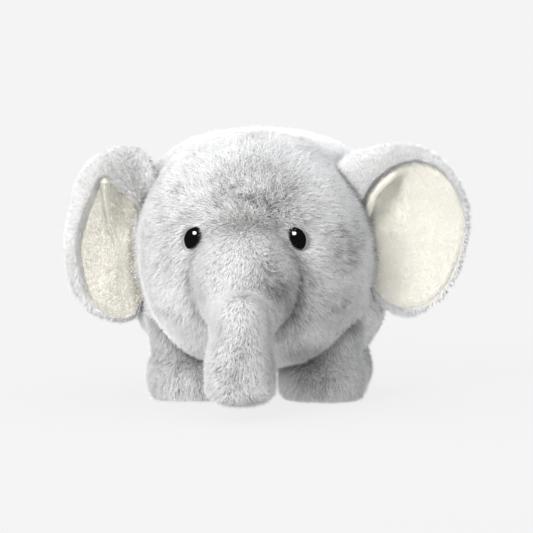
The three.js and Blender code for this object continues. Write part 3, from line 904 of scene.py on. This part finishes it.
MUZZLE_END = 0.42  # share of the trunk's line where the muzzle's cover ends
muzzle_skin = skin_piece("muzzle_skin", muzzle, BACKING)
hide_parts("muzzle_filling", "trunk_filling")
muzzle_fur = grow_pile(
    "muzzle_fur", whole_trunk, FUR, comb_trunk, 61, hidden=[trees["head"]],
    within=("share", 0, MUZZLE_END))
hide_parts("muzzle_cover")
trunk_fur = grow_pile(
    "trunk_fur", whole_trunk, FUR, comb_trunk, 62, hidden=[trees["head"]],
    within=("share", MUZZLE_END, SPLIT))
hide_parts("trunk_cover")
tip_skin = skin_piece("trunk_tip_skin", tip, BACKING)
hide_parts("trunk_tip_filling")
tip_fur = grow_pile("trunk_tip_fur", whole_trunk, FUR, comb_trunk, 63, within=("share", SPLIT, np.inf))
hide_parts("trunk_tip_cover")
for piece in (muzzle_skin, muzzle_fur, trunk_fur):
    blended(piece)
for piece in (tip_skin, tip_fur):
    blended(piece)


# ---- Ears ----

EAR_PAINTED_LIGHT = {"left": 0.25, "right": 0.0}  # painted light: how much lighter the fur of each ear's back is made
LINING_PAINTED_LIGHT_AND_SHADE = {"left": 0.3, "right": -0.22}  # painted light on the left lining and painted shade on the right one

for seed, name in ((71, "left"), (81, "right")):
    root, outward, up, _ = ear_frame(name)
    back, lining = ears[name]
    centre = root + outward * EAR["middle"]

    def comb_ear(points, centre=centre, up=up):
        return unit(points - centre) - 0.25 * up

    back_skin = skin_piece(name + "_ear_skin", back, EAR_BACKING_PAINTED_LIGHT)
    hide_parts(name + "_ear_wadding")
    back_fur = grow_pile(
        name + "_ear_fur", back, EAR_FUR_PAINTED_LIGHT, comb_ear, seed, density=2.0, pile=6.5, width=0.55, lean=60,
        hidden=[trees["head"], trees["body"]], within=("lined", 0, 0.5), ruffled=False,
        tone=EAR_PAINTED_LIGHT[name], crease=0.6)
    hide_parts(name + "_ear_back")
    lining_skin = skin_piece(name + "_ear_lining_skin", lining, LINING)
    lining_pile = grow_pile(
        name + "_ear_lining_pile", lining, LINING_PILE, comb_down, seed + 1, density=3.6, pile=2.4,
        width=0.42, lean=50, hidden=[trees["head"], trees["body"]], within=("front", 0.5, np.inf),
        ruffled=False, clump=2.4, gather=0.25, tone=LINING_PAINTED_LIGHT_AND_SHADE[name], crease=0.6, uneven=0.3)
    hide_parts(name + "_ear_lining")
    for piece in (back_skin, back_fur, lining_skin, lining_pile):
        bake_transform(piece)


# ---- Eyes ----

SIDES = 6  # of each thread


def add_strand(points, faces, middles, first_way, second_way, radius):
    """Adds a closed thread that follows `middles` to the lists of points and faces."""
    base = len(points)
    for middle in middles:
        for side in range(SIDES):
            turn = 2 * math.pi * side / SIDES
            points.append(middle + (first_way * math.cos(turn) + second_way * math.sin(turn)) * radius)
    for row in range(base, len(points) - SIDES, SIDES):
        below = row + SIDES
        for side in range(SIDES):
            after = (side + 1) % SIDES
            faces.append((row + side, row + after, below + after, below + side))
    faces.append(tuple(range(base, base + SIDES))[::-1])
    faces.append(tuple(range(len(points) - SIDES, len(points))))


def thread_piece(name, points, faces, material):
    """A mesh of closed threads, with its faces turned outwards."""
    mesh = bpy.data.meshes.new(name)
    mesh.from_pydata((np.array(points) * MM).tolist(), [], faces)
    mesh.shade_smooth()
    outward = bmesh.new()
    outward.from_mesh(mesh)
    bmesh.ops.recalc_face_normals(outward, faces=outward.faces)
    outward.to_mesh(mesh)
    outward.free()
    return link(name, mesh, material)


STITCH_SPACING = 0.86  # from thread to thread, as a share of a thread's width
STITCH_UNEVEN = 0.25  # how much the threads' ends vary
STITCH_STEPS = 14  # rings along each thread
TUCK = 2.2  # how deep a thread's ends go into the cloth
ABOVE_SKIN = 30  # rays to the skin start this far out


def thread_patch(name, centre, half_width, half_height, lean, rise, dome, thread, material):
    """Satin stitch: threads laid side by side over an oval, each going into the cloth at its ends."""
    outward = unit(centre - HEAD_CENTRE)
    flat = unit(np.cross(np.array([0, 0, 1.0]), outward))
    upward = np.cross(outward, flat)
    angle = math.radians(lean)
    across = flat * math.cos(angle) + upward * math.sin(angle)
    up = -flat * math.sin(angle) + upward * math.cos(angle)
    surface = round_form(HEAD, 0).tree()
    rng = np.random.default_rng(5)
    points, faces = [], []
    for offset in np.arange(-half_width + thread / 2, half_width, thread * STITCH_SPACING):
        reach = half_height * math.sqrt(max(1 - (offset / half_width) ** 2, 0.02))
        reach += rng.uniform(-STITCH_UNEVEN, STITCH_UNEVEN)
        middles = []
        for place in np.linspace(-1, 1, STITCH_STEPS):
            spot = centre + across * offset + up * reach * place
            hit = surface.ray_cast(Vector(spot + outward * ABOVE_SKIN), Vector(-outward))[0]
            edge = (offset / half_width) ** 2 + place**2 * (1 - (offset / half_width) ** 2)
            height = rise + dome * math.sqrt(max(1 - edge, 0)) - TUCK * abs(place) ** 14
            middles.append(np.array(hit) + outward * height)
        add_strand(points, faces, middles, across, outward, thread / 2)
    return thread_piece(name, points, faces, material)


for name, side in (("left", 1), ("right", -1)):
    eye = thread_patch(
        name + "_eye_stitching", box_centre(name + "_eye"), EYE["half_width"], EYE["half_height"],
        lean=side * EYE["lean"], rise=1.2, dome=1.6, thread=0.55, material=BLACK_THREAD)
    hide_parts(name + "_eye")
    spot = box_centre(name + "_eye_highlight") - np.array([HIGHLIGHT["inward"] * side, 0, 0])
    shine = thread_patch(
        name + "_eye_highlight_stitching", spot, HIGHLIGHT["radius"], HIGHLIGHT["radius"],
        lean=0, rise=2.8, dome=0.5, thread=0.45, material=WHITE_THREAD)
    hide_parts(name + "_eye_highlight")
    for piece in (eye, shine):
        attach(piece, "torso")


# ---- Tail and closing stitches ----

tail_line = np.column_stack([TAIL_LINE, np.full((len(TAIL_LINE), 2), TAIL_RADIUS)])
tail = tube(tail_line, -INSET, 0.15, count=40, around=32, knee=False)
tail_skin = skin_piece("tail_skin", tail, BACKING)
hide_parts("tail_filling")
tail_fur = grow_pile("tail_fur", tail, FUR, comb_down, 91, pile=7, hidden=[trees["body"]], ruffled=False)
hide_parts("tail_cover")
for piece in (tail_skin, tail_fur):
    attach(piece, "tail")


CLOSING = {"spacing": 4.0, "half_length": 2.2, "slant": 1.2, "radius": 0.35, "rise": 0.9, "tuck": 1.2}


def closing_stitches():
    """A ladder of short stitches that closes the belly."""
    low_corner, high_corner = box_corners("closing_stitches")
    surface = trees["body"]
    below_body = -50
    points, faces = [], []
    for place in np.arange(low_corner[1], high_corner[1], CLOSING["spacing"]):
        middles = []
        for step in np.linspace(-1, 1, 7):
            across = middle_x + step * CLOSING["half_length"]
            spot = Vector((across, place + step * CLOSING["slant"], below_body))
            hit = surface.ray_cast(spot, Vector((0, 0, 1)))[0]
            drop = CLOSING["rise"] - CLOSING["tuck"] * step**4
            middles.append(np.array(hit) - np.array([0, 0, drop]))
        add_strand(points, faces, middles, np.array([0, 1, 0]), np.array([0, 0, 1]), CLOSING["radius"])
    return thread_piece("closing_stitches_thread", points, faces, SEWING_THREAD)


stitches = closing_stitches()
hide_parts("closing_stitches")
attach(stitches, "torso")


# ---- Floor, light and camera ----

WHITE = (0.905, 0.905, 0.905)
FLOOR = {"radius": 12, "fade_start": 0.25, "fade_end": 0.9, "least_glow": 0.9}
SKY = [  # by height over the horizon, where the world is the backdrop
    (0.0, WHITE), (0.14, WHITE), (0.3, (0.62, 0.63, 0.65)), (0.6, (1.15, 1.16, 1.18)),
    (1.0, (2.1, 2.13, 2.17)),
]
CAMERA = {
    "distance": 2.2,
    "azimuth": 5,
    "elevation": 3,
    "lens": 169,
    "above": 0.0025,  # the point it turns round is this far above the head's centre
    "aim_right": 0.0110,
    "aim_down": 0.0189,
}


def floor_piece():
    """A wide pale floor that takes a soft shadow near the toy and glows like the backdrop far off."""
    mesh = bpy.data.meshes.new("floor")
    ring = bmesh.new()
    bmesh.ops.create_circle(ring, cap_ends=True, segments=96, radius=FLOOR["radius"])
    ring.to_mesh(mesh)
    ring.free()
    material, nodes, join, shader = new_material("pale_floor")
    place = nodes.new("ShaderNodeTexCoord")
    far = nodes.new("ShaderNodeVectorMath")
    far.operation = "LENGTH"
    join(place.outputs["Object"], far.inputs[0])
    blend = nodes.new("ShaderNodeMapRange")
    blend.interpolation_type = "SMOOTHSTEP"
    tuned(blend, From_Min=FLOOR["fade_start"], From_Max=FLOOR["fade_end"], To_Min=FLOOR["least_glow"])
    join(far.outputs["Value"], blend.inputs["Value"])
    glow = tuned(nodes.new("ShaderNodeEmission"), Color=(*WHITE, 1))
    tuned(shader, Base_Color=(0.55, 0.55, 0.55, 1), Roughness=0.9, Specular_IOR_Level=0)
    mix = nodes.new("ShaderNodeMixShader")
    join(blend.outputs["Result"], mix.inputs["Fac"])
    join(shader.outputs["BSDF"], mix.inputs[1])
    join(glow.outputs["Emission"], mix.inputs[2])
    join(mix.outputs["Shader"], nodes["Material Output"].inputs["Surface"])
    return link("floor", mesh, material)


def studio_world():
    """Light from all round, dimmer just above the backdrop and strongest from straight above."""
    world = bpy.data.worlds.new("studio")
    world.use_nodes = True
    nodes = world.node_tree.nodes
    join = world.node_tree.links.new
    place = nodes.new("ShaderNodeTexCoord")
    split = nodes.new("ShaderNodeSeparateXYZ")
    join(place.outputs["Generated"], split.inputs[0])
    tone = ramp(nodes, SKY)
    join(split.outputs["Z"], tone.inputs["Fac"])
    join(tone.outputs["Color"], nodes["Background"].inputs["Color"])
    bpy.context.scene.world = world


def area_light(name, place, target, size, power, colour):
    light = bpy.data.lights.new(name, "AREA")
    light.shape = "DISK"
    light.size = size
    light.energy = power
    light.color = colour
    lamp = bpy.data.objects.new(name, light)
    lamp.location = place
    lamp.rotation_euler = (Vector(target) - Vector(place)).to_track_quat("-Z", "Y").to_euler()
    bpy.context.scene.collection.objects.link(lamp)


def photo_camera():
    """Two metres in front, a few degrees to the toy's left and above it."""
    azimuth, elevation = math.radians(CAMERA["azimuth"]), math.radians(CAMERA["elevation"])
    level = math.cos(elevation)
    back = Vector((math.sin(azimuth) * level, -math.cos(azimuth) * level, math.sin(elevation)))
    face = Vector(HEAD_CENTRE * MM) + Vector((0, 0, CAMERA["above"]))
    right = Vector((math.cos(azimuth), math.sin(azimuth), 0))
    aim = face + right * CAMERA["aim_right"] - right.cross(-back) * CAMERA["aim_down"]
    data = bpy.data.cameras.new("camera")
    data.sensor_width = 36
    data.lens = CAMERA["lens"]
    camera = bpy.data.objects.new("camera", data)
    camera.location = face + back * CAMERA["distance"]
    camera.rotation_euler = (aim - camera.location).to_track_quat("-Z", "Y").to_euler()
    bpy.context.scene.collection.objects.link(camera)
    bpy.context.scene.camera = camera


floor_piece()
studio_world()
area_light("key", place=(-0.95, -2.2, 0.95), target=(0, 0, 0.12), size=1.0, power=54,
           colour=(1.0, 0.99, 0.97))
photo_camera()
bpy.context.scene.view_settings.view_transform = "Standard"
